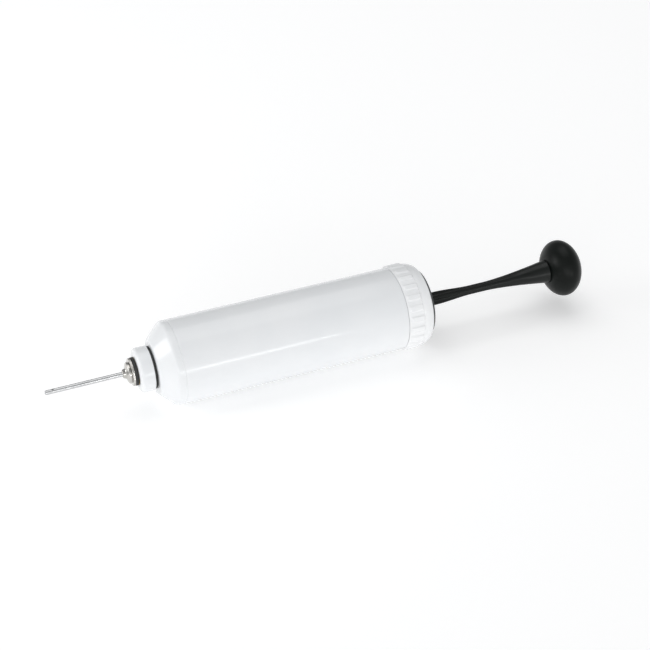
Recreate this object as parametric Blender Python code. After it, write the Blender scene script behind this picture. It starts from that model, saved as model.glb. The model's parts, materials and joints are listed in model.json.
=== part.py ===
"""A hand pump for inflating balls: barrel, needle, check valve, screw cap and knob plunger.

The pump lies along X, with its needle at -X and its knob at +X. It rests on the ribs of its cap at Z = 0.
Places along the axis are named X_... and measured from the barrel's front shoulder.
The frame empty then moves the whole pump so that the middle of its length is at X = 0.
"""

import math

import bmesh
import bpy
from mathutils import Vector

MM = 0.001

# Fits
LOOSE = 0.3 * MM
CLOSE = 0.1 * MM

# Barrel
BARREL_R = 12.5 * MM
BORE_R = 10.5 * MM
NECK_R = 11.3 * MM
FACE_R = 8.2 * MM
SOCKET_R = 5.3 * MM
X_FACE = -4.75 * MM
X_WALL = 1.6 * MM
X_NECK = 70.5 * MM
X_BARREL_END = 76.6 * MM

# Nozzle, with the brass insert and the check valve inside it
NOZZLE_R = 6.6 * MM
SHANK_R = 5.1 * MM
CHAMBER_R = 3.7 * MM
INSERT_R = 4.0 * MM
SEAL_R = 6.2 * MM
X_NOZZLE = -9.7 * MM
X_BOSS_END = -5.55 * MM
X_CHAMBER = -4.8 * MM
X_NOZZLE_END = 1.4 * MM
X_SEAT = 0.5 * MM
PORT_R = 1.5 * MM
POPPET_R = 3.0 * MM
POPPET_THICK = 1.1 * MM
PEG_R = 1.5 * MM
PEG_LENGTH = 0.9 * MM
SPRING_R = 2.2 * MM
SPRING_WIRE_R = 0.2 * MM
SPRING_TURNS = 3.5

# Needle
NEEDLE_R = 0.7 * MM
NEEDLE_BORE_R = 0.4 * MM
NEEDLE_HOLE_R = 0.3 * MM
NEEDLE_THREAD_R = 3.1 * MM
HUB_R = 4.1 * MM
WASHER_THICK = 0.9 * MM
X_TIP = -36.2 * MM
X_HUB_TIP = -13.7 * MM
X_NEEDLE_TAIL = -9.4 * MM
X_THREAD_END = -5.2 * MM

# Rear cap, with the bush that guides the rod
CAP_R = 12.75 * MM
CAP_BAND_R = 12.6 * MM
CAP_END_R = 11.0 * MM
CAP_INNER_R = 11.6 * MM
RIB_HEIGHT = 0.35 * MM
RIBS = 24
RIB_STEPS = 4
X_CAP = 70.8 * MM
X_RIBS_END = 75.4 * MM
X_CAP_WALL = 77.9 * MM
X_CAP_END = 79.1 * MM
X_FLANGE_END = 80.1 * MM
CAP_HOLE_R = 4.4 * MM
BUSH_BORE_R = 2.4 * MM
BUSH_FLANGE_R = 10.3 * MM
LINER_R = 11.1 * MM
BUMPER_R = 6.5 * MM
X_BUMPER = 72.8 * MM
X_BUMPER_END = 75.2 * MM

# Plunger, drawn back about half way
ROD_R = 2.05 * MM
WAIST_R = 1.4 * MM
NECK_END_R = 3.6 * MM
COLLAR_R = 7.0 * MM
ROD_TURN = math.radians(45)
PISTON_R = 10.1 * MM
CUP_R = 10.35 * MM
X_CUP = 29.1 * MM
X_CUP_BASE = 32.6 * MM
X_PISTON = 34.1 * MM
X_COLLAR = 35.8 * MM
X_SHAFT = 37.3 * MM
X_TAPER = 84.6 * MM
X_WAIST = 96.6 * MM
X_FLARE = 101.6 * MM
X_NECK_END = 122.6 * MM
X_SCREW_END = 41.0 * MM
X_PILOT_END = 41.8 * MM
SCREW_R = 0.95 * MM
SCREW_HEAD_R = 2.0 * MM
SCREW_HOLE_R = 1.2 * MM
PILOT_R = 1.1 * MM

# Knob
KNOB_R = 8.8 * MM
KNOB_FRONT_R = 4.2 * MM
KNOB_FLAT_R = 3.2 * MM
SPIGOT_R = 2.2 * MM
SPIGOT_LENGTH = 6.0 * MM
X_KNOB = 123.0 * MM
X_KNOB_WIDEST = 128.0 * MM
X_KNOB_END = 133.3 * MM

X_MIDDLE = (X_TIP + X_KNOB_END) / 2
AXIS_HEIGHT = CAP_R + RIB_HEIGHT

WHITE = (0.86, 0.87, 0.88)
BLACK = (0.012, 0.014, 0.013)
NICKEL = (0.62, 0.61, 0.58)
BRASS = (0.66, 0.48, 0.2)
STEEL = (0.6, 0.61, 0.62)
NATURAL = (0.78, 0.78, 0.74)
GREY = (0.05, 0.052, 0.053)


def clear_scene():
    for old in list(bpy.data.objects):
        bpy.data.objects.remove(old, do_unlink=True)


def material(name, colour, roughness, metallic=0.0):
    made = bpy.data.materials.new(name)
    made.use_nodes = True
    shader = made.node_tree.nodes["Principled BSDF"]
    shader.inputs["Base Color"].default_value = (*colour, 1.0)
    shader.inputs["Roughness"].default_value = roughness
    shader.inputs["Metallic"].default_value = metallic
    return made


def empty(name, x, parent=None):
    """A point on the pump's axis that pieces are placed from."""
    made = bpy.data.objects.new(name, None)
    made.empty_display_size = 5 * MM
    made.parent = parent
    made.location = (x, 0.0, 0.0)
    bpy.context.scene.collection.objects.link(made)
    return made


def add(name, bm, parent, look):
    """Makes the object. Its origin is its parent, on the axis that the piece turns or slides on."""
    bmesh.ops.recalc_face_normals(bm, faces=bm.faces[:])
    mesh = bpy.data.meshes.new(name)
    bm.to_mesh(mesh)
    bm.free()
    mesh.shade_smooth()
    mesh.set_sharp_from_angle(angle=math.radians(32))
    mesh.materials.append(look)
    made = bpy.data.objects.new(name, mesh)
    made.parent = parent
    bpy.context.scene.collection.objects.link(made)
    return made


def turned_mesh(profile, start, segments):
    """Spins an outline of (x, radius) points about X. An outline with both ends on the axis stays open."""
    bm = bmesh.new()
    points = [bm.verts.new((x - start, 0.0, r)) for x, r in profile]
    edges = [bm.edges.new(pair) for pair in zip(points, points[1:])]
    if profile[0][1] > 0.0:
        edges.append(bm.edges.new((points[-1], points[0])))
    bmesh.ops.spin(
        bm,
        geom=points + edges,
        cent=(0.0, 0.0, 0.0),
        axis=(1.0, 0.0, 0.0),
        angle=math.tau,
        steps=segments,
        use_merge=True,
    )
    bmesh.ops.remove_doubles(bm, verts=bm.verts[:], dist=0.001 * MM)
    return bm


def turned(name, profile, parent, look, segments=48):
    return add(name, turned_mesh(profile, parent["x"], segments), parent, look)


def arc(centre_x, centre_r, wide, high, first, last, steps):
    """Points of an elliptical arc. The angle is 0 along +X and 90 outwards from the axis."""
    turns = [math.radians(first + (last - first) * k / steps) for k in range(steps + 1)]
    return [(centre_x + wide * math.cos(a), centre_r + high * math.sin(a)) for a in turns]


def ring(x0, x1, inner, outer, bevel=0.0):
    """The outline of a washer between x0 and x1, with its outer edges bevelled."""
    if not bevel:
        return [(x0, inner), (x0, outer), (x1, outer), (x1, inner)]
    b = bevel
    corners = [(x0, outer - b), (x0 + b, outer), (x1 - b, outer), (x1, outer - b)]
    return [(x0, inner), *corners, (x1, inner)]


def station(name, x, frame):
    """An empty on the axis at x, which remembers x for the outlines of its pieces."""
    made = empty(name, x, frame)
    made["x"] = x
    return made


# ---- barrel and nozzle


def barrel_outline():
    edge = 0.7 * MM
    lead = 0.3 * MM
    front = [(X_FACE, FACE_R - lead), (X_FACE + 0.2 * MM, FACE_R)]
    shoulder = arc(edge, BARREL_R - edge, edge, edge, 135, 90, 2)
    neck = [
        (X_NECK - lead, BARREL_R),
        (X_NECK, BARREL_R - lead),
        (X_NECK, NECK_R),
        (X_BARREL_END - lead, NECK_R),
        (X_BARREL_END, NECK_R - lead),
    ]
    root = 1.0 * MM
    bore = [
        (X_BARREL_END, BORE_R + lead),
        (X_BARREL_END - lead, BORE_R),
        *arc(X_WALL + root, BORE_R - root, root, root, 90, 180, 2),
    ]
    return [(X_FACE, SOCKET_R), *front, *shoulder, *neck, *bore, (X_WALL, SOCKET_R)]


def nozzle_outline():
    corner = 0.8 * MM
    lip = 0.25 * MM
    return [
        (X_NOZZLE, INSERT_R + CLOSE),
        *arc(X_NOZZLE + corner, NOZZLE_R - corner, corner, corner, 180, 90, 3),
        (X_BOSS_END, NOZZLE_R),
        (X_BOSS_END, SHANK_R),
        (X_NOZZLE_END - lip, SHANK_R),
        (X_NOZZLE_END, SHANK_R - lip),
        (X_NOZZLE_END, CHAMBER_R),
        (X_CHAMBER, CHAMBER_R),
        (X_CHAMBER, INSERT_R + CLOSE),
    ]


def make_body(frame, looks):
    at = station("barrel_axis", 0.0, frame)
    turned("barrel", barrel_outline(), at, looks["white"], 48)
    turned("nozzle", nozzle_outline(), at, looks["nozzle"], 32)
    gap_start, gap_end = X_BOSS_END + CLOSE, X_FACE - CLOSE
    seal = ring(gap_start, gap_end, SHANK_R + CLOSE, SEAL_R, 0.2 * MM)
    turned("nozzle_seal_ring", seal, at, looks["seal"], 32)
    insert = ring(X_NOZZLE, X_CHAMBER - 0.15 * MM, NEEDLE_THREAD_R + CLOSE, INSERT_R)
    turned("needle_insert", insert, at, looks["brass"], 24)


def make_valve(frame, looks):
    at = station("valve_axis", X_SEAT, frame)
    cage_end = X_CHAMBER + 0.7 * MM
    cage = ring(X_CHAMBER + CLOSE, cage_end, 0.9 * MM, CHAMBER_R - CLOSE)
    turned("valve_cage", cage, at, looks["cage"], 24)
    seat = ring(X_SEAT, X_NOZZLE_END, PORT_R, CHAMBER_R - CLOSE)
    turned("valve_seat", seat, at, looks["seat"], 24)
    disc_end = X_SEAT - LOOSE
    disc = disc_end - POPPET_THICK
    peg = disc - PEG_LENGTH
    lead = 0.2 * MM
    poppet = [
        (peg, 0.0),
        (peg, PEG_R - lead),
        (peg + lead, PEG_R),
        (disc, PEG_R),
        (disc, POPPET_R),
        (disc_end, POPPET_R),
        (disc_end, 0.0),
    ]
    turned("valve_poppet", poppet, at, looks["rubber"], 24)
    first = cage_end + CLOSE + SPRING_WIRE_R - X_SEAT
    last = disc - CLOSE - SPRING_WIRE_R - X_SEAT
    spring(at, first, last, looks["steel"])


def spring(at, first, last, look):
    """The return spring of the check valve, as a wire along a helix."""
    curve = bpy.data.curves.new("valve_spring", "CURVE")
    curve.dimensions = "3D"
    curve.bevel_depth = SPRING_WIRE_R
    curve.bevel_resolution = 1
    curve.use_fill_caps = True
    per_turn = 10
    count = int(SPRING_TURNS * per_turn)
    line = curve.splines.new("POLY")
    line.points.add(count)
    for k, point in enumerate(line.points):
        angle = math.tau * k / per_turn
        x = first + (last - first) * k / count
        point.co = (x, SPRING_R * math.cos(angle), SPRING_R * math.sin(angle), 1.0)
    curve.materials.append(look)
    made = bpy.data.objects.new("valve_spring", curve)
    made.parent = at
    bpy.context.scene.collection.objects.link(made)


# ---- needle


def make_needle(frame, looks):
    washer_end = X_NOZZLE - CLOSE
    washer_start = washer_end - WASHER_THICK
    at = station("needle_axis", washer_start, frame)
    washer = ring(washer_start, washer_end, NEEDLE_THREAD_R + CLOSE, HUB_R + 0.05 * MM, 0.3 * MM)
    turned("needle_washer", washer, at, looks["rubber"], 24)

    bore = NEEDLE_R + CLOSE
    flange_end = washer_start - 0.05 * MM
    hub = [
        (X_HUB_TIP, bore),
        (X_HUB_TIP, 1.3 * MM),
        (X_HUB_TIP + 0.9 * MM, 1.6 * MM),
        (X_HUB_TIP + 1.5 * MM, 3.2 * MM),
        (X_HUB_TIP + 2.0 * MM, 3.2 * MM),
        (X_HUB_TIP + 2.2 * MM, HUB_R),
        (flange_end, HUB_R),
        (flange_end, NEEDLE_THREAD_R),
        (X_THREAD_END - 0.4 * MM, NEEDLE_THREAD_R),
        (X_THREAD_END, NEEDLE_THREAD_R - 0.4 * MM),
        (X_THREAD_END, 1.4 * MM),
        (X_NEEDLE_TAIL + 0.2 * MM, 1.4 * MM),
        (X_NEEDLE_TAIL + 0.2 * MM, bore),
    ]
    turned("needle_hub", hub, at, looks["nickel"], 24)

    closed = 1.2 * MM
    tube = [
        *arc(X_TIP + NEEDLE_R, 0.0, NEEDLE_R, NEEDLE_R, 180, 90, 5)[1:],
        (X_NEEDLE_TAIL, NEEDLE_R),
        (X_NEEDLE_TAIL, NEEDLE_BORE_R),
        (X_TIP + closed, NEEDLE_BORE_R),
        (X_TIP + closed + 0.2 * MM, 0.0),
    ]
    needle = turned("needle_tube", [(X_TIP, 0.0), *tube], at, looks["steel"], 16)
    cross_drill(needle, at, X_TIP + 2.4 * MM)


def cross_drill(needle, at, x):
    """The air outlet, a fine hole drilled across the needle near its tip."""
    bm = bmesh.new()
    bmesh.ops.create_cone(
        bm,
        cap_ends=True,
        segments=16,
        radius1=NEEDLE_HOLE_R,
        radius2=NEEDLE_HOLE_R,
        depth=4 * NEEDLE_R,
    )
    mesh = bpy.data.meshes.new("needle_drill")
    bm.to_mesh(mesh)
    bm.free()
    drill = bpy.data.objects.new("needle_drill", mesh)
    drill.parent = at
    drill.location = (x - at["x"], 0.0, 0.0)
    drill.hide_render = True
    drill.display_type = "WIRE"
    bpy.context.scene.collection.objects.link(drill)
    cut = needle.modifiers.new("air_outlet", "BOOLEAN")
    cut.operation = "DIFFERENCE"
    cut.object = drill


# ---- rear cap


def cap_outline():
    """A threaded skirt, a band that curves in towards the end, and an end wall with a hole for the bush."""
    lead = 0.3 * MM
    corner = 0.6 * MM
    band = X_RIBS_END + lead
    band_round = arc(band, CAP_END_R, X_CAP_END - band, CAP_BAND_R - CAP_END_R, 90, 0, 3)
    return [
        (X_CAP, CAP_INNER_R),
        (X_CAP, CAP_R - lead),
        (X_CAP + 2 * lead, CAP_R),
        (X_RIBS_END, CAP_R),
        *band_round,
        (X_CAP_END, CAP_HOLE_R),
        (X_CAP_WALL, CAP_HOLE_R),
        (X_CAP_WALL, CAP_INNER_R - corner),
        (X_CAP_WALL - corner, CAP_INNER_R),
    ]


def make_cap(frame, looks):
    at = station("cap_axis", X_CAP, frame)
    bm = turned_mesh(cap_outline(), X_CAP, RIBS * RIB_STEPS)
    raise_ribs(bm)
    add("rear_cap", bm, at, looks["white"])

    liner = ring(X_BARREL_END + LOOSE, X_CAP_WALL - LOOSE, BORE_R - 0.7 * MM, LINER_R)
    turned("cap_liner", liner, at, looks["rubber"], 36)

    flange = X_CAP_END + CLOSE
    edge = 0.3 * MM
    sleeve = CAP_HOLE_R - 0.2 * MM
    spigot = 3.3 * MM
    step = X_BUMPER_END + 0.2 * MM
    bush = [
        (X_BUMPER + 0.4 * MM, BUSH_BORE_R),
        (X_BUMPER + 0.4 * MM, spigot),
        (step, spigot),
        (step, sleeve),
        (flange, sleeve),
        (flange, BUSH_FLANGE_R),
        (X_FLANGE_END - edge, BUSH_FLANGE_R),
        (X_FLANGE_END, BUSH_FLANGE_R - edge),
        (X_FLANGE_END, BUSH_BORE_R),
    ]
    turned("rod_guide_bush", bush, at, looks["grey"], 36)
    bumper = ring(X_BUMPER, X_BUMPER_END, spigot + CLOSE, BUMPER_R, 0.5 * MM)
    turned("stop_bumper", bumper, at, looks["rubber"], 24)


def raise_ribs(bm):
    """Lifts every other pair of lengthways lines on the skirt, between its two ends, into grip ribs."""
    low, high = 0.5 * MM, X_RIBS_END - X_CAP + 0.05 * MM
    for vert in bm.verts:
        radius = math.hypot(vert.co.y, vert.co.z)
        on_skirt = low < vert.co.x < high and radius > CAP_R - 0.05 * MM
        line = round(math.atan2(vert.co.y, vert.co.z) / math.tau * RIBS * RIB_STEPS)
        if on_skirt and line % RIB_STEPS < RIB_STEPS // 2:
            lift = (radius + RIB_HEIGHT) / radius
            vert.co.y *= lift
            vert.co.z *= lift


# ---- plunger


def rod_section(x, radius, cross):
    """A ring of points at x: round where cross is 0, and a four-bladed cross of that radius where it is 1."""
    per_blade = 8
    samples = 4 * per_blade
    half_web = 0.3 * radius
    points = []
    for k in range(samples):
        angle = ROD_TURN + math.tau * k / samples
        off_blade = abs((k + per_blade // 2) % per_blade - per_blade // 2) * math.tau / samples
        blade = min(radius, half_web / max(math.sin(off_blade), 0.01))
        reach = radius + (blade - radius) * cross
        points.append(Vector((x, reach * math.sin(angle), reach * math.cos(angle))))
    return points


def rod_sections():
    """From the bottom of the screw hole, over the front collar and along the shaft, to the knob."""
    sections = [
        rod_section(X_PILOT_END, PILOT_R, 0),
        rod_section(X_COLLAR, PILOT_R, 0),
        rod_section(X_COLLAR, COLLAR_R, 0),
        rod_section(X_SHAFT, COLLAR_R, 0),
        rod_section(X_SHAFT, ROD_R, 0),
        rod_section(X_PILOT_END + 0.6 * MM, ROD_R, 0),
        rod_section(X_PILOT_END + 2.0 * MM, ROD_R, 1),
        rod_section(X_TAPER, ROD_R, 1),
    ]
    steps = 3
    for k in range(1, steps + 1):
        part = k / steps
        radius = ROD_R + (WAIST_R - ROD_R) * (3 * part**2 - 2 * part**3)
        x = X_TAPER + (X_WAIST - X_TAPER) * part
        sections.append(rod_section(x, radius, 1 - 0.6 * part))
    steps = 6
    for k in range(steps + 1):
        part = k / steps
        radius = WAIST_R + (NECK_END_R - WAIST_R) * part**1.5
        x = X_FLARE + (X_NECK_END - X_FLARE) * part
        sections.append(rod_section(x, radius, 0.4 * (1 - part)))
    sections.append(rod_section(X_NECK_END, SPIGOT_R, 0))
    sections.append(rod_section(X_KNOB + SPIGOT_LENGTH, SPIGOT_R, 0))
    return sections


def lofted_mesh(sections, start):
    """Joins rings of points, each to the next, and closes both ends."""
    bm = bmesh.new()
    rings = [[bm.verts.new(p - Vector((start, 0.0, 0.0))) for p in s] for s in sections]
    for one, two in zip(rings, rings[1:]):
        for k in range(len(one)):
            j = (k + 1) % len(one)
            bm.faces.new((one[k], one[j], two[j], two[k]))
    bm.faces.new(rings[0])
    bm.faces.new(rings[-1])
    return bm


def knob_outline():
    """A thick round knob with a small flat at its end and a socket for the rod in its front."""
    front = math.degrees(math.acos(KNOB_FRONT_R / KNOB_R))
    long_front = (X_KNOB_WIDEST - X_KNOB) / math.sin(math.radians(front))
    back = math.degrees(math.acos(KNOB_FLAT_R / KNOB_R))
    long_back = (X_KNOB_END - X_KNOB_WIDEST) / math.sin(math.radians(back))
    socket = X_KNOB + SPIGOT_LENGTH + 0.4 * MM
    return [
        (socket, 0.0),
        (socket, SPIGOT_R + CLOSE),
        (X_KNOB, SPIGOT_R + CLOSE),
        *arc(X_KNOB_WIDEST, 0.0, long_front, KNOB_R, 90 + front, 90, 6),
        *arc(X_KNOB_WIDEST, 0.0, long_back, KNOB_R, 90, 90 - back, 6)[1:],
        (X_KNOB_END, 0.0),
    ]


def make_plunger(frame, looks):
    at = station("plunger_axis", X_CUP, frame)
    wall = 0.65 * MM
    edge = 0.8 * MM
    cup_end = X_PISTON - CLOSE
    inside_r = CUP_R - wall - 0.3 * MM
    cup = [
        (X_CUP, CUP_R - wall),
        (X_CUP, CUP_R),
        (cup_end - edge, CUP_R - 0.15 * MM),
        (cup_end, CUP_R - edge),
        (cup_end, SCREW_HOLE_R),
        (X_CUP_BASE, SCREW_HOLE_R),
        (X_CUP_BASE, inside_r - 1.8 * MM),
        (X_CUP_BASE - 1.0 * MM, inside_r),
    ]
    turned("piston_cup", cup, at, looks["rubber"], 36)

    piston_end = X_COLLAR - CLOSE
    bevel = 0.3 * MM
    disc = [
        (X_PISTON, SCREW_HOLE_R),
        (X_PISTON, PISTON_R - bevel),
        (X_PISTON + bevel, PISTON_R),
        (piston_end - bevel, PISTON_R),
        (piston_end, PISTON_R - bevel),
        (piston_end, SCREW_HOLE_R),
    ]
    turned("piston_disc", disc, at, looks["disc"], 36)

    washer_end = X_CUP_BASE - CLOSE
    washer_start = washer_end - 0.6 * MM
    washer = ring(washer_start, washer_end, SCREW_HOLE_R, 5.0 * MM)
    turned("clamp_washer", washer, at, looks["steel"], 24)

    head_end = washer_start - CLOSE
    head_thick = 1.0 * MM
    crown_r = 1.1 * MM
    point = 1.0 * MM
    screw = [
        (head_end - head_thick, 0.0),
        (head_end - head_thick, crown_r),
        *arc(head_end, crown_r, head_thick, SCREW_HEAD_R - crown_r, 160, 90, 4),
        (head_end, SCREW_R),
        (X_SCREW_END - point, SCREW_R),
        (X_SCREW_END, 0.2 * MM),
        (X_SCREW_END, 0.0),
    ]
    turned("piston_screw", screw, at, looks["steel"], 16)

    add("plunger_rod", lofted_mesh(rod_sections(), X_CUP), at, looks["black"])
    turned("knob", knob_outline(), at, looks["knob"], 36)


def main():
    clear_scene()
    looks = {
        "white": material("white_plastic", WHITE, 0.22),
        "nozzle": material("nozzle_plastic", WHITE, 0.3),
        "black": material("black_plastic", BLACK, 0.35),
        "grey": material("grey_plastic", GREY, 0.4),
        "knob": material("knob_plastic", BLACK, 0.42),
        "seal": material("seal_rubber", BLACK, 0.6),
        "rubber": material("black_rubber", BLACK, 0.75),
        "brass": material("insert_brass", BRASS, 0.35, 1.0),
        "nickel": material("nickel_plate", NICKEL, 0.18, 1.0),
        "steel": material("steel", STEEL, 0.25, 1.0),
        "cage": material("cage_plastic", NATURAL, 0.45),
        "seat": material("seat_plastic", NATURAL, 0.4),
        "disc": material("piston_plastic", NATURAL, 0.4),
    }
    frame = empty("pump_frame", -X_MIDDLE)
    frame.location.z = AXIS_HEIGHT
    make_body(frame, looks)
    make_valve(frame, looks)
    make_needle(frame, looks)
    make_cap(frame, looks)
    make_plunger(frame, looks)


main()
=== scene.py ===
"""The finished look of a ball inflation pump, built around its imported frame.

Every piece is turned, lofted or wound about the pump's axis, which runs along X. Outlines are in millimetres,
measured along X from the front of the CAD node that the piece replaces.
"""

import json
import math

import bmesh
import bpy
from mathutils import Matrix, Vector


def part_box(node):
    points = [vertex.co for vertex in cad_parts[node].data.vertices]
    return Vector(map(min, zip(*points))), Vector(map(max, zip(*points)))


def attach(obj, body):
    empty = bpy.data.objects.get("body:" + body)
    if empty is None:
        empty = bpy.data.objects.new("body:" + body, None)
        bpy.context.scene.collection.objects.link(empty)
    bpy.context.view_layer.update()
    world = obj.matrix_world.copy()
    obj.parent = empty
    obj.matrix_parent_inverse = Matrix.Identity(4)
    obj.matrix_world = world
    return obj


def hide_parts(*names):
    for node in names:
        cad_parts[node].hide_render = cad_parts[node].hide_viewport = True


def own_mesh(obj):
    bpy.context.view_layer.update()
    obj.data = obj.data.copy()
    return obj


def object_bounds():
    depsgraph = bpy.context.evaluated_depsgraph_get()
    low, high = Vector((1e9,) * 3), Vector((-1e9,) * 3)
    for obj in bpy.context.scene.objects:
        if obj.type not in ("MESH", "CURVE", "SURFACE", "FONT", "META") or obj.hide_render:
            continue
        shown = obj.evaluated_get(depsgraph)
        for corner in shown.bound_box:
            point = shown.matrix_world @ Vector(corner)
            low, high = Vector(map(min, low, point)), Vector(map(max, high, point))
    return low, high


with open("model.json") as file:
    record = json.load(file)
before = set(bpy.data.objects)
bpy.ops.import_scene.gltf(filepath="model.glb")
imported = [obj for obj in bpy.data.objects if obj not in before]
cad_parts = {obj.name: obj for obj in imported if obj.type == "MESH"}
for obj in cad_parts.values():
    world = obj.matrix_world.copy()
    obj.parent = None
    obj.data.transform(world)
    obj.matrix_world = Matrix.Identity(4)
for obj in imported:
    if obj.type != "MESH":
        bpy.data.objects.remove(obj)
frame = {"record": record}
cad_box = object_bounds()

MM = 0.001
KNOB_LOW, KNOB_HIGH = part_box("knob")
AXIS_Z = (KNOB_LOW.z + KNOB_HIGH.z) / 2
BODY_OF = {node: body for body, nodes in frame["record"]["behaviour"]["bodies"].items() for node in nodes}

CAP_RIBS = 24
CAP_RIB_HEIGHT = 0.35
CAP_STEP = 0.08
CAP_STEP_AT = 6.7

CAP_PITCH = 2.0
NOSE_PITCH = 1.25
NEEDLE_PITCH = 0.794
SCREW_PITCH = 0.7

SHARP = 38.0
NEAR = 0.01
EVEN = (1.0, 1.0, 1.0)
ALONG = (0.05, 1.0, 1.0)
AROUND = (1.0, 0.06, 0.06)


# ---- outlines and meshes


def front_of(node):
    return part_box(node)[0].x / MM


def back_of(node):
    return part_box(node)[1].x / MM


def radius_of(node):
    low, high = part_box(node)
    return (high.y - low.y) / 2 / MM


def rounded(corners, closed, steps):
    """Turns corners of (x, radius, fillet) into an outline of (x, radius) that bends over each fillet."""
    points = [Vector(c[:2]) for c in corners]
    outline = []
    for k, corner in enumerate(corners):
        here = points[k]
        fillet = corner[2] if len(corner) > 2 else 0.0
        at_end = not closed and k in (0, len(corners) - 1)
        if fillet == 0.0 or at_end:
            outline.append(here)
            continue
        before = points[k - 1] - here
        after = points[(k + 1) % len(points)] - here
        first = here + before.normalized() * min(fillet, 0.48 * before.length)
        last = here + after.normalized() * min(fillet, 0.48 * after.length)
        for j in range(steps + 1):
            t = j / steps
            outline.append(first * (1 - t) ** 2 + here * 2 * t * (1 - t) + last * t**2)
    return outline


def smooth(part):
    """Eases a share from 0 to 1, and holds it outside that range."""
    part = min(1.0, max(0.0, part))
    return part * part * (3 - 2 * part)


def steps_between(x0, x1, radius, step):
    """Corners along a straight stretch, close enough together to carry a thread."""
    count = max(2, round(abs(x1 - x0) / step))
    return [(x0 + (x1 - x0) * k / count, radius) for k in range(count + 1)]


def finish_mesh(name, bm, sharp=SHARP):
    """Makes an object of the mesh, smooth but for edges that turn by more than sharp degrees."""
    bmesh.ops.recalc_face_normals(bm, faces=bm.faces[:])
    mesh = bpy.data.meshes.new(name)
    bm.to_mesh(mesh)
    bm.free()
    mesh.shade_smooth()
    mesh.set_sharp_from_angle(angle=math.radians(sharp))
    piece = bpy.data.objects.new(name, mesh)
    bpy.context.scene.collection.objects.link(piece)
    return piece


def turned(name, start, corners, segments, shape=None, steps=4):
    """Spins corners about the axis.

    shape(x, radius, angle) returns the radius where the surface isn't plain.
    """
    closed = corners[0][1] > 0
    outline = rounded(corners, closed, steps)
    bm = bmesh.new()
    rings = []
    for point in outline:
        x = (start + point.x) * MM
        if point.y <= 1e-9:
            rings.append([bm.verts.new((x, 0.0, AXIS_Z))])
            continue
        ring = []
        for k in range(segments):
            angle = math.tau * k / segments
            reach = (shape(point.x, point.y, angle) if shape else point.y) * MM
            ring.append(bm.verts.new((x, reach * math.cos(angle), AXIS_Z + reach * math.sin(angle))))
        rings.append(ring)
    pairs = list(zip(rings, rings[1:]))
    if closed:
        pairs.append((rings[-1], rings[0]))
    for one, two in pairs:
        join_rings(bm, one, two)
    return finish_mesh(name, bm)


def join_rings(bm, one, two):
    """Faces between two rings of points, either of which may be a single point on the axis."""
    count = max(len(one), len(two))
    for k in range(count):
        j = (k + 1) % count
        if len(one) == 1:
            bm.faces.new((one[0], two[j], two[k]))
        elif len(two) == 1:
            bm.faces.new((one[k], one[j], two[0]))
        else:
            bm.faces.new((one[k], one[j], two[j], two[k]))


def lofted(name, sections, sharp=SHARP):
    """Joins rings of points in order and closes both ends."""
    bm = bmesh.new()
    rings = [[bm.verts.new(p) for p in section] for section in sections]
    for one, two in zip(rings, rings[1:]):
        join_rings(bm, one, two)
    bm.faces.new(rings[0])
    bm.faces.new(rings[-1])
    return finish_mesh(name, bm, sharp)


def carve(piece, cutter):
    """Cuts one mesh out of another and throws the cutter away."""
    cut = piece.modifiers.new("cut", "BOOLEAN")
    cut.operation = "DIFFERENCE"
    cut.solver = "EXACT"
    cut.object = cutter
    bpy.context.view_layer.objects.active = piece
    bpy.ops.object.modifier_apply(modifier=cut.name)
    bpy.data.objects.remove(cutter)
    piece.data.shade_smooth()
    piece.data.set_sharp_from_angle(angle=math.radians(SHARP))


def block(sides, centre, turn=0.0):
    """A box cutter in millimetres, turned about X."""
    bm = bmesh.new()
    bmesh.ops.create_cube(bm, size=1.0)
    for vert in bm.verts:
        x, y, z = (vert.co[k] * sides[k] for k in range(3))
        y, z = y * math.cos(turn) - z * math.sin(turn), y * math.sin(turn) + z * math.cos(turn)
        vert.co = Vector((x + centre[0], y + centre[1], z + centre[2])) * MM
        vert.co.z += AXIS_Z
    return finish_mesh("cutter", bm)


def drill(x, radius, length, turn=0.0, offset=0.0):
    """A round cutter across the axis at x, or along it if offset from it."""
    bm = bmesh.new()
    bmesh.ops.create_cone(
        bm, cap_ends=True, segments=32, radius1=radius * MM, radius2=radius * MM, depth=length * MM
    )
    for vert in bm.verts:
        if offset:
            vert.co = Vector((vert.co.z, vert.co.x + offset * MM, vert.co.y))
        y, z = vert.co.y, vert.co.z
        vert.co.y = y * math.cos(turn) - z * math.sin(turn)
        vert.co.z = y * math.sin(turn) + z * math.cos(turn) + AXIS_Z
        vert.co.x += x * MM
    return finish_mesh("cutter", bm)


def thread(first, last, pitch, depth, inside=False):
    """A right-hand thread cut into the stretch from first to last, fading out at both ends."""
    crest, flank = 0.22, 0.5

    def shape(x, radius, angle):
        if not first < x < last:
            return radius
        wave = abs(2 * ((x / pitch - angle / math.tau) % 1.0) - 1)
        cut = min(1.0, max(0.0, (wave - crest) / flank))
        fade = min(1.0, (x - first) / pitch, (last - x) / pitch)
        return radius + depth * cut * fade * (1 if inside else -1)

    return shape


# ---- materials


def texture(nodes, links, scale, detail, stretch=EVEN, distortion=0.0):
    """Noise fixed to the piece, with scale in cycles per metre. Returns its factor."""
    place = nodes.new("ShaderNodeTexCoord")
    mapping = nodes.new("ShaderNodeMapping")
    mapping.inputs["Scale"].default_value = stretch
    noise = nodes.new("ShaderNodeTexNoise")
    noise.inputs["Scale"].default_value = scale
    noise.inputs["Detail"].default_value = detail
    noise.inputs["Distortion"].default_value = distortion
    links.new(place.outputs["Object"], mapping.inputs["Vector"])
    links.new(mapping.outputs["Vector"], noise.inputs["Vector"])
    return noise.outputs["Fac"]


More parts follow.
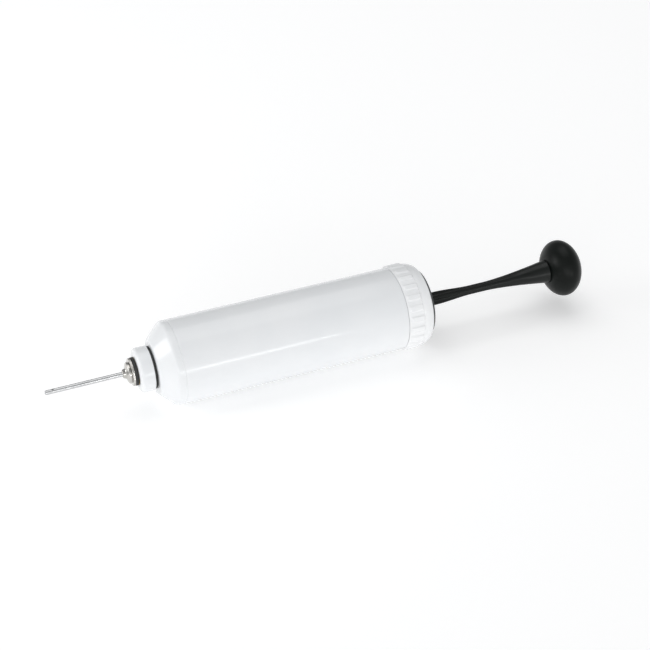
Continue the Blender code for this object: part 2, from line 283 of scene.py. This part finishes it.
def between(nodes, links, factor, low, high, first=0.3, last=0.7):
    """Spreads a factor over a range."""
    spread = nodes.new("ShaderNodeMapRange")
    spread.inputs["From Min"].default_value = first
    spread.inputs["From Max"].default_value = last
    spread.inputs["To Min"].default_value = low
    spread.inputs["To Max"].default_value = high
    links.new(factor, spread.inputs["Value"])
    return spread.outputs["Result"]


def tinted(nodes, links, factor, one, two):
    """Spreads a factor over two colours."""
    ramp = nodes.new("ShaderNodeValToRGB")
    ramp.color_ramp.elements[0].position = 0.3
    ramp.color_ramp.elements[1].position = 0.7
    ramp.color_ramp.elements[0].color = (*one, 1.0)
    ramp.color_ramp.elements[1].color = (*two, 1.0)
    links.new(factor, ramp.inputs["Fac"])
    return ramp.outputs["Color"]


def bumped(nodes, links, layers):
    """Chains bumps of (factor, distance in metres) and returns the normal."""
    normal = None
    for factor, distance in layers:
        bump = nodes.new("ShaderNodeBump")
        bump.inputs["Strength"].default_value = 1.0
        bump.inputs["Distance"].default_value = distance
        links.new(factor, bump.inputs["Height"])
        if normal:
            links.new(normal, bump.inputs["Normal"])
        normal = bump.outputs["Normal"]
    return normal


def surface(name, one, two, rough, grain, metallic=0.0, patch=60.0, gloss=0.5, coat=0.0, soft=0.0):
    """A material whose colour drifts between two tones and whose roughness drifts over a range.

    patch is the scale of the drift. grain is a list of (noise scale, depth in metres, stretch) for the bumps.
    """
    made = bpy.data.materials.new(name)
    made.use_nodes = True
    nodes, links = made.node_tree.nodes, made.node_tree.links
    shader = nodes["Principled BSDF"]
    shader.inputs["Metallic"].default_value = metallic
    shader.inputs["Specular IOR Level"].default_value = gloss
    shader.inputs["Coat Weight"].default_value = coat
    shader.inputs["Coat Roughness"].default_value = 0.08
    if soft:
        shader.inputs["Subsurface Weight"].default_value = soft
        shader.inputs["Subsurface Radius"].default_value = (1.0, 1.0, 1.0)
        shader.inputs["Subsurface Scale"].default_value = 0.8 * MM
    drift = texture(nodes, links, patch, 4.0)
    links.new(tinted(nodes, links, drift, one, two), shader.inputs["Base Color"])
    smudge = texture(nodes, links, patch * 2.7, 5.0, distortion=0.4)
    links.new(between(nodes, links, smudge, *rough), shader.inputs["Roughness"])
    layers = [(texture(nodes, links, scale, 2.0, along), depth) for scale, depth, along in grain]
    links.new(bumped(nodes, links, layers), shader.inputs["Normal"])
    return made


LOOKS = {
    "white": surface(
        "glossy_white_plastic", (0.80, 0.815, 0.83), (0.84, 0.85, 0.86), (0.13, 0.2),
        [(260.0, 4e-6, EVEN), (2600.0, 6e-7, EVEN), (900.0, 8e-7, ALONG)], gloss=0.4, soft=0.06,
    ),
    "cap": surface(
        "ribbed_white_plastic", (0.82, 0.83, 0.84), (0.88, 0.885, 0.89), (0.16, 0.26),
        [(400.0, 5e-6, EVEN), (3000.0, 8e-7, EVEN)], gloss=0.4, soft=0.06,
    ),
    "black": surface(
        "satin_black_plastic", (0.003, 0.004, 0.0035), (0.007, 0.009, 0.008), (0.26, 0.38),
        [(700.0, 6e-6, ALONG), (5200.0, 1.2e-6, EVEN)], patch=110.0, gloss=0.24,
    ),
    "knob": surface(
        "moulded_black_plastic", (0.003, 0.004, 0.0035), (0.007, 0.009, 0.008), (0.3, 0.42),
        [(450.0, 5e-6, EVEN), (6000.0, 1.6e-6, EVEN)], patch=90.0, gloss=0.14,
    ),
    # The bush's dark grey is partly its own colour and partly painted shade, where its flange rim shows round
    # the cap's end.
    "grey": surface(
        "dark_grey_plastic_and_painted_shade", (0.045, 0.048, 0.05), (0.06, 0.063, 0.064), (0.32, 0.46),
        [(600.0, 6e-6, AROUND), (5200.0, 1.2e-6, EVEN)], patch=140.0, gloss=0.4,
    ),
    "rubber": surface(
        "black_rubber", (0.016, 0.016, 0.016), (0.034, 0.033, 0.031), (0.55, 0.78),
        [(900.0, 8e-6, EVEN), (7000.0, 2.5e-6, EVEN)], patch=300.0,
    ),
    "greased": surface(
        "greased_rubber", (0.018, 0.018, 0.018), (0.03, 0.03, 0.028), (0.22, 0.5),
        [(500.0, 1.2e-5, AROUND), (5000.0, 2e-6, EVEN)], patch=200.0, coat=0.3,
    ),
    "nickel": surface(
        "nickel_plate", (0.51, 0.5, 0.475), (0.6, 0.585, 0.56), (0.1, 0.22),
        [(2400.0, 2.5e-6, AROUND), (9000.0, 5e-7, EVEN)], metallic=1.0, patch=500.0,
    ),
    "needle": surface(
        "drawn_steel", (0.52, 0.525, 0.53), (0.62, 0.625, 0.63), (0.2, 0.34),
        [(5200.0, 1.5e-6, (0.02, 1.0, 1.0)), (9000.0, 4e-7, EVEN)], metallic=1.0, patch=400.0,
    ),
    "zinc": surface(
        "zinc_plated_steel", (0.52, 0.53, 0.54), (0.66, 0.65, 0.60), (0.24, 0.42),
        [(2600.0, 3e-6, AROUND), (8000.0, 8e-7, EVEN)], metallic=1.0, patch=350.0,
    ),
    "brass": surface(
        "turned_brass", (0.58, 0.41, 0.15), (0.72, 0.53, 0.24), (0.2, 0.36),
        [(3000.0, 3e-6, AROUND), (8000.0, 6e-7, EVEN)], metallic=1.0, patch=420.0,
    ),
    "natural": surface(
        "natural_plastic", (0.70, 0.70, 0.66), (0.78, 0.775, 0.73), (0.32, 0.48),
        [(600.0, 6e-6, EVEN), (4200.0, 1.4e-6, EVEN)], soft=0.1,
    ),
}


def fit(piece, node, look):
    """Gives a piece its material and its body, and puts it in place of the CAD node."""
    piece.data.materials.append(LOOKS[look])
    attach(piece, BODY_OF[node])
    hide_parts(node)
    return piece


# ---- barrel and nozzle


def make_barrel():
    """The tube, with its coned shoulder, a fine witness line behind it, and a threaded neck."""
    start = front_of("barrel")
    long = back_of("barrel") - start
    r = radius_of("barrel")
    shoulder = 4.75
    groove, groove_depth = shoulder + 1.5, 0.1
    neck = long - 6.1
    neck_r, bore_r, socket_r = 11.3, 10.5, 5.3
    wall = shoulder + 1.6
    cut = thread(neck + 0.7, long - 0.7, CAP_PITCH, 0.4)
    corners = [
        (0.0, socket_r, 0.15),
        (0.0, 8.1, 0.6),
        (shoulder - 0.35, r - 0.15, 0.5),
        (shoulder + 0.3, r, 0.25),
        (groove, r),
        (groove + 0.12, r - groove_depth),
        (groove + 0.32, r - groove_depth),
        (groove + 0.44, r),
        (neck - 25.0, r),
        (neck, r, 0.1),
        (neck, neck_r, 0.1),
        *steps_between(neck + 0.6, long - 0.6, neck_r, 0.2),
        (long, neck_r - 0.1, 0.3),
        (long, bore_r + 0.1, 0.3),
        (long - 1.0, bore_r),
        (wall, bore_r, 1.2),
        (wall, socket_r, 0.15),
    ]

    def shape(x, radius, angle):
        return cut(x, radius, angle) if radius > neck_r - 0.05 and x > neck + 0.3 else radius

    fit(turned("barrel_moulding", start, corners, 160, shape), "barrel", "white")


def make_nozzle():
    """The nose that carries the needle, its brass thread, and the ring that seals it to the barrel."""
    start = front_of("nozzle")
    long = back_of("nozzle") - start
    r = radius_of("nozzle")
    boss, hole_end = 4.15, 4.9
    shank_r, chamber_r, hole_r = 5.1, 3.7, 4.1
    cut = thread(boss + 1.7, long - 0.7, NOSE_PITCH, 0.35)
    corners = [
        (0.0, hole_r, 0.12),
        (0.0, r - 1.5),
        (0.06, r - 1.1),
        (0.3, r - 0.45, 0.35),
        (0.9, r, 0.5),
        (boss - 0.9, r),
        (boss, r, 0.25),
        (boss, shank_r, 0.1),
        *steps_between(boss + 1.6, long - 0.6, shank_r, 0.12),
        (long, shank_r - 0.1, 0.25),
        (long, chamber_r, 0.15),
        (hole_end, chamber_r, 0.1),
        (hole_end, hole_r, 0.1),
    ]

    def shape(x, radius, angle):
        return cut(x, radius, angle) if radius > shank_r - 0.05 and x > boss + 0.3 else radius

    fit(turned("nozzle_moulding", start, corners, 112, shape), "nozzle", "white")
    make_nose_seal(shank_r + 0.1)
    make_insert()


def make_nose_seal(inner):
    """The rubber ring between the nose and the barrel, with a fine parting line round its middle."""
    ring_start = front_of("nozzle_seal_ring")
    wide = back_of("nozzle_seal_ring") - ring_start
    ring_r = radius_of("nozzle_seal_ring")
    corners = [
        (0.0, inner, 0.1),
        (0.0, ring_r, 0.26),
        (wide / 2 - 0.03, ring_r),
        (wide / 2, ring_r + 0.02),
        (wide / 2 + 0.03, ring_r),
        (wide, ring_r, 0.26),
        (wide, inner, 0.1),
    ]
    fit(turned("nose_seal", ring_start, corners, 96), "nozzle_seal_ring", "rubber")


def make_insert():
    """The brass thread that the needle's hub screws into."""
    start = front_of("needle_insert")
    long = back_of("needle_insert") - start
    r = radius_of("needle_insert")
    bore_r = 3.2
    grooves = thread(0.55, long - 0.55, NEEDLE_PITCH, 0.3, inside=True)
    corners = [
        (0.0, bore_r + 0.35),
        (0.0, r, 0.12),
        (long, r, 0.12),
        (long, bore_r + 0.3),
        *steps_between(long - 0.5, 0.5, bore_r, 0.08),
    ]

    def shape(x, radius, angle):
        return grooves(x, radius, angle) if abs(radius - bore_r) < NEAR else radius

    fit(turned("brass_insert", start, corners, 96, shape), "needle_insert", "brass")


# ---- check valve


def make_valve():
    """Cage, spring, poppet and seat, from front to back inside the nozzle."""
    cage_start = front_of("valve_cage")
    cage_thick = back_of("valve_cage") - cage_start
    cage_r = radius_of("valve_cage")
    middle_r, hole_r, holes_at, holes = 0.9, 0.55, 2.9, 4
    cage = [
        (0.0, middle_r, 0.1),
        (0.0, cage_r, 0.12),
        (cage_thick, cage_r, 0.12),
        (cage_thick, middle_r, 0.1),
    ]
    plate = turned("valve_cage_plate", cage_start, cage, 72)
    for k in range(holes):
        turn = math.tau * (k + 0.5) / holes
        carve(plate, drill(cage_start + cage_thick / 2, hole_r, 3 * cage_thick, turn, holes_at))
    fit(plate, "valve_cage", "natural")

    seat_start = front_of("valve_seat")
    seat_thick = back_of("valve_seat") - seat_start
    seat_r = radius_of("valve_seat")
    port_r, lip_r, lip_height = 1.5, 1.9, 0.12
    seat = [
        (lip_height, port_r, 0.1),
        (0.0, lip_r, 0.1),
        (lip_height, 2.4, 0.1),
        (lip_height, seat_r, 0.1),
        (seat_thick, seat_r, 0.15),
        (seat_thick, lip_r, 0.1),
        (seat_thick - 0.3, port_r, 0.1),
    ]
    fit(turned("valve_seat_ring", seat_start, seat, 72), "valve_seat", "natural")

    poppet_start = front_of("valve_poppet")
    poppet_long = back_of("valve_poppet") - poppet_start
    poppet_r = radius_of("valve_poppet")
    poppet = [
        (0.0, 0.0),
        (0.0, 1.35, 0.3),
        (0.9, 1.45, 0.15),
        (0.95, poppet_r, 0.2),
        (poppet_long, poppet_r, 0.25),
        (poppet_long, 2.3),
        (poppet_long - 0.1, 2.1),
        (poppet_long - 0.1, 0.0),
    ]
    fit(turned("valve_poppet_disc", poppet_start, poppet, 72), "valve_poppet", "rubber")

    make_spring()


def make_spring():
    """A wire wound with its end turns closed up."""
    low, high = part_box("valve_spring")
    wire = 0.2
    coil_r = (high.y - low.y) / 2 / MM - wire
    first, last = low.x / MM + wire, high.x / MM - wire
    turns, per_turn, sides = 4.5, 40, 12
    even_share = 0.45
    count = int(turns * per_turn)
    sections = []
    for k in range(count + 1):
        part = k / count
        eased = 0.5 - 0.5 * math.cos(math.pi * part)
        x = first + (last - first) * (even_share * part + (1 - even_share) * eased)
        angle = math.tau * turns * part
        out = Vector((0.0, math.cos(angle), math.sin(angle)))
        ring = []
        for j in range(sides):
            a = math.tau * j / sides
            point = Vector((x, 0.0, 0.0)) + out * (coil_r + wire * math.cos(a))
            point.x += wire * math.sin(a)
            ring.append(point * MM + Vector((0.0, 0.0, AXIS_Z)))
        sections.append(ring)
    coil = fit(lofted("valve_spring_coil", sections, 60), "valve_spring", "needle")
    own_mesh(coil)


# ---- needle


def make_needle():
    """The tube, rounded and closed at its tip, with a cross-drilled outlet, then the hub that holds it."""
    tip = front_of("needle_tube")
    long = back_of("needle_tube") - tip
    r = radius_of("needle_tube")
    bore_r, outlet_r, outlet_at = 0.4, 0.3, 2.4
    tube = [
        (0.0, 0.0),
        (0.0, 0.16),
        (0.07, 0.38),
        (0.24, 0.58),
        (0.5, r - 0.02, 0.15),
        (0.8, r),
        (long, r, 0.08),
        (long, bore_r, 0.05),
        (1.3, bore_r, 0.1),
        (1.45, 0.0),
    ]
    needle = turned("needle_steel_tube", tip, tube, 48)
    carve(needle, drill(tip + outlet_at, outlet_r, 4.0))
    fit(needle, "needle_tube", "needle")
    make_hub(r + 0.06)


def make_hub(tube_hole_r):
    """The plated hub: a coned nose, a knurled rim and a thread, with the washer behind the rim."""
    start = front_of("needle_hub")
    hub_long = back_of("needle_hub") - start
    hub_r = radius_of("needle_hub")
    thread_r, root_r, air_r, air_depth = 3.1, 2.7, 1.4, 4.0
    rim, under = 2.3, front_of("needle_washer") - start - 0.05
    knurls, knurl_depth = 60, 0.07
    cut = thread(under + 1.5, hub_long - 0.4, NEEDLE_PITCH, 0.36)
    hub = [
        (0.12, tube_hole_r),
        (0.0, 0.95, 0.1),
        (0.1, 1.25, 0.12),
        (0.95, 1.55, 0.25),
        (1.35, 2.85, 0.3),
        (1.55, 3.2, 0.15),
        (2.02, 3.22, 0.1),
        (2.1, 2.95, 0.06),
        (2.22, 2.95, 0.06),
        (rim, hub_r - 0.15),
        (rim + 0.06, hub_r),
        (under - 0.06, hub_r),
        (under, hub_r - 0.1),
        (under, root_r, 0.05),
        (under + 1.4, root_r, 0.05),
        *steps_between(under + 1.6, hub_long - 0.45, thread_r, 0.08),
        (hub_long, thread_r - 0.45, 0.1),
        (hub_long, air_r, 0.1),
        (hub_long - air_depth, air_r),
        (hub_long - air_depth, tube_hole_r),
    ]

    def shape(x, radius, angle):
        if rim - 0.02 < x < under - 0.03 and radius > hub_r - 0.2:
            return radius - knurl_depth * (0.5 + 0.5 * math.cos(knurls * angle))
        return cut(x, radius, angle) if abs(radius - thread_r) < NEAR else radius

    fit(turned("needle_plated_hub", start, hub, 240, shape), "needle_hub", "nickel")

    washer_start = front_of("needle_washer")
    thick = back_of("needle_washer") - washer_start
    washer_r = radius_of("needle_washer")
    hole_r = thread_r + 0.1
    washer = [
        (0.0, hole_r, 0.1),
        (0.0, washer_r, 0.25),
        (thick, washer_r, 0.25),
        (thick, hole_r, 0.1),
    ]
    fit(turned("needle_rubber_washer", washer_start, washer, 72), "needle_washer", "rubber")


# ---- rear cap


def make_cap():
    """A screw cap: a ribbed skirt, then a plain band with two fine steps that curves in to a flat end."""
    start = front_of("rear_cap")
    long = back_of("rear_cap") - start
    rib_r = radius_of("rear_cap")
    skirt_r = rib_r - CAP_RIB_HEIGHT
    band_r, end_r, inner_r, hole_r = 12.6, 11.0, 11.6, 4.4
    lip, ribs_start, ribs_end = -0.22, 0.3, 4.6
    band = ribs_end + 0.3
    wall = long - 1.2
    rows, steps = 20, 14
    rib_rows = [(ribs_start + (ribs_end - ribs_start) * k / rows, skirt_r) for k in range(rows + 1)]
    curve = []
    for k in range(1, steps + 1):
        lean = math.pi / 2 * k / steps
        curve.append((band + (long - band) * math.sin(lean), end_r + (band_r - end_r) * math.cos(lean)))
    corners = [
        (lip, inner_r + 0.15, 0.1),
        (lip, skirt_r - 0.06, 0.06),
        *rib_rows,
        (ribs_end + 0.12, band_r - 0.06),
        (band, band_r - 0.06),
        (band + 0.1, band_r),
        *[(x, r - (CAP_STEP if x > CAP_STEP_AT else 0.0)) for x, r in curve],
        (long, hole_r, 0.1),
        (wall, hole_r, 0.1),
        (wall, inner_r - 0.6),
        (wall - 0.6, inner_r),
        *steps_between(wall - 1.0, 0.6, inner_r, 0.2),
    ]
    first_rib = math.tau * 0.25 - math.tau * 0.5 / (CAP_RIBS * 4)
    ridge = thread(0.7, wall - 1.0, CAP_PITCH, -0.25, inside=True)

    def shape(x, radius, angle):
        if abs(radius - skirt_r) < NEAR and x <= ribs_end:
            rib = smooth(0.5 + 1.15 * math.cos(CAP_RIBS * (angle - first_rib)))
            ends = min(1.0, (x - 0.25) / 0.5, (ribs_end + 0.05 - x) / 0.4)
            return radius + CAP_RIB_HEIGHT * rib * math.sin(math.pi / 2 * max(0.0, ends))
        if abs(radius - inner_r) < NEAR and x < wall - 0.8:
            return ridge(x, radius, angle)
        return radius

    fit(turned("cap_moulding", start, corners, CAP_RIBS * 16, shape, 5), "rear_cap", "cap")

    liner_start = front_of("cap_liner")
    liner_thick = back_of("cap_liner") - liner_start
    liner_r, liner_bore_r = radius_of("cap_liner"), 9.8
    liner = [
        (0.0, liner_bore_r, 0.12),
        (0.0, liner_r, 0.12),
        (liner_thick, liner_r, 0.12),
        (liner_thick, liner_bore_r, 0.12),
    ]
    fit(turned("cap_rubber_liner", liner_start, liner, 112), "cap_liner", "rubber")


def make_bush():
    """The grey bush that guides the rod, and the rubber bumper at its front. The bush's wide dark grey flange
    sits just past the cap's end, so its rim shows as a thin dark line round the cap: painted shade for the
    cap's rounded end.
    """
    start = front_of("rod_guide_bush")
    long = back_of("rod_guide_bush") - start
    r = radius_of("rod_guide_bush")
    bore_r, spigot_r, sleeve_r = 2.4, 3.3, 4.2
    step = back_of("stop_bumper") + 0.2 - start
    # The flange starts just past the cap's end. Its dark rim round the cap is painted shade.
    flange = back_of("rear_cap") + 0.02 - start
    recess = long - 0.3
    bush = [
        (0.0, bore_r + 0.2),
        (0.0, spigot_r, 0.2),
        (step, spigot_r, 0.05),
        (step, sleeve_r, 0.2),
        (flange, sleeve_r, 0.05),
        (flange, r - 0.1, 0.1),
        (flange + 0.12, r, 0.1),
        (long - 0.25, r, 0.2),
        (long, r - 0.35, 0.2),
        (long, r - 1.6, 0.1),
        (recess, r - 1.9, 0.15),
        (recess, sleeve_r + 0.6, 0.15),
        (long, sleeve_r + 0.3, 0.1),
        (long, bore_r + 0.6, 0.2),
        (long - 0.35, bore_r, 0.2),
        (0.25, bore_r, 0.1),
    ]
    fit(turned("rod_bush", start, bush, 160), "rod_guide_bush", "grey")

    ring_start = front_of("stop_bumper")
    thick = back_of("stop_bumper") - ring_start
    ring_r = radius_of("stop_bumper")
    ring = [
        (0.0, spigot_r + 0.1, 0.15),
        (0.0, ring_r, 0.7),
        (thick, ring_r, 0.5),
        (thick, spigot_r + 0.1, 0.15),
    ]
    fit(turned("bumper_ring", ring_start, ring, 96), "stop_bumper", "rubber")


# ---- plunger


def make_piston():
    """Cup seal, backing disc, clamp washer and screw."""
    start = front_of("piston_cup")
    long = back_of("piston_cup") - start
    r = radius_of("piston_cup")
    hole_r = 1.2
    cup = [
        (0.0, r - 0.4, 0.12),
        (0.05, r, 0.15),
        (1.2, r - 0.02),
        (long - 1.2, r - 0.2, 0.6),
        (long, r - 1.0, 0.4),
        (long, hole_r, 0.1),
        (long - 1.4, hole_r, 0.1),
        (long - 1.4, r - 2.2, 1.2),
        (long - 3.0, r - 0.95, 0.8),
    ]
    fit(turned("piston_cup_seal", start, cup, 144), "piston_cup", "greased")

    disc_start = front_of("piston_disc")
    thick = back_of("piston_disc") - disc_start
    disc_r = radius_of("piston_disc")
    disc = [
        (0.0, hole_r, 0.1),
        (0.0, disc_r, 0.3),
        (thick, disc_r, 0.3),
        (thick, disc_r - 0.9, 0.1),
        (thick - 0.3, disc_r - 1.1, 0.1),
        (thick - 0.3, 7.4, 0.1),
        (thick, 7.2, 0.1),
        (thick, hole_r, 0.1),
    ]
    fit(turned("piston_backing", disc_start, disc, 128), "piston_disc", "natural")

    washer_start = front_of("clamp_washer")
    washer_thick = back_of("clamp_washer") - washer_start
    washer_r = radius_of("clamp_washer")
    washer = [
        (0.0, hole_r, 0.06),
        (0.0, washer_r, 0.18),
        (washer_thick, washer_r, 0.06),
        (washer_thick, hole_r, 0.06),
    ]
    fit(turned("piston_washer", washer_start, washer, 80), "clamp_washer", "zinc")
    make_screw()


def make_screw():
    """A pan-head screw with a cross recess."""
    start = front_of("piston_screw")
    long = back_of("piston_screw") - start
    head_r = radius_of("piston_screw")
    shank_r = 0.95
    head = 1.0
    cut = thread(head + 0.45, long - 1.1, SCREW_PITCH, 0.26)
    screw = [
        (0.0, 0.0),
        (0.0, 0.9),
        (0.12, 1.35),
        (0.45, head_r - 0.12, 0.15),
        (head, head_r, 0.12),
        (head, shank_r, 0.08),
        *steps_between(head + 0.5, long - 1.2, shank_r, 0.09),
        (long, 0.12),
        (long, 0.0),
    ]

    def shape(x, radius, angle):
        return cut(x, radius, angle) if abs(radius - shank_r) < NEAR and x > head + 0.4 else radius

    made = turned("piston_pan_screw", start, screw, 64, shape)
    slot = (1.0, 1.9, 0.42)
    for turn in (0.0, math.pi / 2):
        carve(made, block(slot, (start + 0.12, 0.0, 0.0), turn + 0.4))
    fit(made, "piston_screw", "zinc")


def cross_section(x, radius, cross):
    """A ring at x: a circle where cross is 0, and four blades joined by filleted webs where it is 1."""
    samples = 96
    web = 0.29 * radius
    valley = 1.75 * web
    tip_sharpness, valley_sharpness = 9, 6
    points = []
    for k in range(samples):
        angle = math.tau * k / samples
        off = (angle + math.tau / 8) % (math.tau / 4) - math.tau / 8
        side = web / max(abs(math.sin(off)), 1e-6)
        blade = -math.log(sum(math.exp(-tip_sharpness * v) for v in (radius, side))) / tip_sharpness
        filled = (blade**valley_sharpness + valley**valley_sharpness) ** (1 / valley_sharpness)
        blade = max(blade, 0.98 * filled)
        reach = radius + (min(blade, radius) - radius) * cross
        turned_by = angle + math.tau / 8
        place = Vector((x, reach * math.cos(turned_by), reach * math.sin(turned_by)))
        points.append(place * MM + Vector((0.0, 0.0, AXIS_Z)))
    return points


def make_rod():
    """The rod: a collar in front, a cross-shaped shaft, a waist and a neck that flares into the knob."""
    start = front_of("plunger_rod")
    end = back_of("plunger_rod")
    collar_r = radius_of("plunger_rod")
    rod_r, waist_r, neck_r, spigot_r, hole_r = 2.03, 1.4, 3.6, 2.2, 1.1
    collar = start + 1.5
    pilot = start + 6.0
    full_cross = pilot + 2.2
    waist_cross = 0.65
    taper, waist, flare = start + 48.8, start + 60.8, start + 65.8
    neck = front_of("knob") - 0.4

    edge, edge_middle = 0.25, 0.08
    front = [
        (pilot, hole_r),
        (start + 0.15, hole_r),
        (start, hole_r + 0.15),
        (start, collar_r - edge),
        (start + edge_middle, collar_r - edge_middle),
        (start + edge, collar_r),
        (collar - edge, collar_r),
        (collar - edge_middle, collar_r - edge_middle),
        (collar, collar_r - edge),
        (collar, rod_r + 0.02),
        (collar + 0.3, rod_r),
    ]
    back = [
        (neck, neck_r - 0.15),
        (neck, spigot_r + 0.02),
        (neck + 0.1, spigot_r),
        (end - 0.3, spigot_r),
        (end, spigot_r - 0.3),
    ]
    blend_steps, shaft_steps, waist_steps, flare_steps = 8, 40, 16, 40
    rows = [(x, radius, 0.0) for x, radius in front]
    for k in range(blend_steps + 1):
        rows.append((pilot + 0.6 + 0.2 * k, rod_r, smooth(k / blend_steps)))
    for k in range(1, shaft_steps + 1):
        rows.append((full_cross + (taper - full_cross) * k / shaft_steps, rod_r, 1.0))
    for k in range(1, waist_steps + 1):
        part = k / waist_steps
        radius = rod_r + (waist_r - rod_r) * smooth(part)
        cross = 1.0 - (1.0 - waist_cross) * smooth(part)
        rows.append((taper + (waist - taper) * part, radius, cross))
    for k in range(flare_steps + 1):
        part = k / flare_steps
        radius = waist_r + (neck_r - waist_r) * part**1.5
        cross = waist_cross * (1 - smooth(1.3 * part))
        rows.append((flare + (neck - flare) * part, radius, cross))
    rows += [(x, radius, 0.0) for x, radius in back]
    sections = [cross_section(*row) for row in rows]
    fit(lofted("rod_moulding", sections), "plunger_rod", "black")


def make_knob():
    """A thick round knob with a small flat at its end and a fine parting line."""
    start = front_of("knob")
    long = back_of("knob") - start
    r = radius_of("knob")
    widest = 5.0
    front_r, flat_r = 4.2, 3.2
    hole_r, hole_depth = 2.3, 6.4
    line_height, line_width, line_from = 0.03, 0.12, 4.5
    lean_front = math.acos(front_r / r)
    lean_back = math.acos(flat_r / r)
    long_front = widest / math.sin(lean_front)
    long_back = (long - widest) / math.sin(lean_back)
    body = []
    steps = 36
    for k in range(steps + 1):
        lean = -lean_front + (lean_front + lean_back) * k / steps
        stretch = long_front if lean < 0 else long_back
        body.append((widest + stretch * math.sin(lean), r * math.cos(lean)))
    corners = [
        (hole_depth, 0.0),
        (hole_depth, hole_r, 0.2),
        (0.15, hole_r),
        (0.0, hole_r + 0.3),
        (0.0, front_r - 0.35, 0.1),
        *body[1:-1],
        (long - 0.02, flat_r + 0.15),
        (long, flat_r - 0.2),
        (long, 0.0),
    ]

    def shape(x, radius, angle):
        off = radius * math.sin(angle)
        line = line_height * math.exp(-((off / line_width) ** 2))
        return radius + line if radius > line_from and abs(x - widest) > 0.2 else radius

    fit(turned("knob_moulding", start, corners, 192, shape), "knob", "knob")


# ---- studio

KEY, STRIP, TOP, NOSE = 2.0, 0.7, 5.0, 0.4
SKY_FRONT, SKY_BACK, SKY_TOP = 1.0, 0.38, 0.46
FLOOR_GLOW = 0.25

VIEW_AZIMUTH, VIEW_ELEVATION, VIEW_DISTANCE = -22, 37, 0.44
LENS = 82.0


def make_floor():
    """A pale disc with a slight glow, so that it stays near white."""
    bm = bmesh.new()
    bmesh.ops.create_circle(bm, cap_ends=True, segments=96, radius=2.0)
    floor = finish_mesh("studio_floor", bm)
    look = bpy.data.materials.new("pale_floor")
    look.use_nodes = True
    shader = look.node_tree.nodes["Principled BSDF"]
    shader.inputs["Base Color"].default_value = (0.93, 0.93, 0.93, 1.0)
    shader.inputs["Roughness"].default_value = 0.85
    shader.inputs["Specular IOR Level"].default_value = 0.2
    shader.inputs["Emission Color"].default_value = (1.0, 1.0, 1.0, 1.0)
    shader.inputs["Emission Strength"].default_value = FLOOR_GLOW
    floor.data.materials.append(look)


def aim(thing, target):
    thing.rotation_mode = "QUATERNION"
    thing.rotation_quaternion = (target - thing.location).to_track_quat("-Z", "Y")


def around(centre, azimuth, elevation, distance):
    """The point at a distance from the centre, with azimuth from -Y towards +X and elevation upwards."""
    a, e = math.radians(azimuth), math.radians(elevation)
    return centre + distance * Vector((math.sin(a) * math.cos(e), -math.cos(a) * math.cos(e), math.sin(e)))


def area_light(name, centre, azimuth, elevation, distance, wide, high, power):
    data = bpy.data.lights.new(name, "AREA")
    data.shape = "RECTANGLE"
    data.size, data.size_y = wide, high
    data.energy = power
    lamp = bpy.data.objects.new(name, data)
    lamp.location = around(centre, azimuth, elevation, distance)
    aim(lamp, centre)
    bpy.context.scene.collection.objects.link(lamp)


def make_studio():
    """A wide bright surround in front, dim behind and overhead.

    The strip makes the barrel's highlight. The small light at the needle's end whitens the nose and shoulder.
    """
    low, high = cad_box
    centre = (low + high) / 2
    beside = centre + Vector((0.12, 0.0, 0.0))
    tip = Vector((low.x, centre.y, centre.z))
    area_light("key", centre, -28, 12, distance=1.2, wide=0.9, high=0.35, power=KEY)
    area_light("strip", beside, 2, 6, distance=1.0, wide=0.34, high=0.05, power=STRIP)
    area_light("top", centre, 180, 74, distance=1.2, wide=1.2, high=1.0, power=TOP)
    area_light("nose", tip, -110, 20, distance=0.35, wide=0.2, high=0.12, power=NOSE)
    world = bpy.data.worlds.new("surround")
    world.use_nodes = True
    nodes, links = world.node_tree.nodes, world.node_tree.links
    place = nodes.new("ShaderNodeTexCoord")
    parts = nodes.new("ShaderNodeSeparateXYZ")
    links.new(place.outputs["Generated"], parts.inputs["Vector"])
    facing = between(nodes, links, parts.outputs["Y"], SKY_FRONT, SKY_BACK, first=-0.9, last=0.9)
    overhead = between(nodes, links, parts.outputs["Z"], 1.0, SKY_TOP, first=0.2, last=0.95)
    both = nodes.new("ShaderNodeMath")
    both.operation = "MULTIPLY"
    links.new(facing, both.inputs[0])
    links.new(overhead, both.inputs[1])
    links.new(both.outputs["Value"], nodes["Background"].inputs["Strength"])
    nodes["Background"].inputs["Color"].default_value = (0.99, 1.0, 1.01, 1.0)
    bpy.context.scene.world = world
    bpy.context.scene.view_settings.view_transform = "Standard"


def make_camera():
    """Looks from the needle's end and from above. The distance sets the perspective, the lens the framing."""
    low, high = cad_box
    centre = (low + high) / 2
    data = bpy.data.cameras.new("camera")
    data.lens = LENS
    data.clip_start, data.clip_end = 0.01, 20.0
    camera = bpy.data.objects.new("camera", data)
    camera.location = around(centre, VIEW_AZIMUTH, VIEW_ELEVATION, VIEW_DISTANCE)
    aim(camera, centre)
    bpy.context.scene.collection.objects.link(camera)
    bpy.context.scene.camera = camera


make_barrel()
make_nozzle()
make_valve()
make_needle()
make_cap()
make_bush()
make_piston()
make_rod()
make_knob()
make_floor()
make_studio()
make_camera()
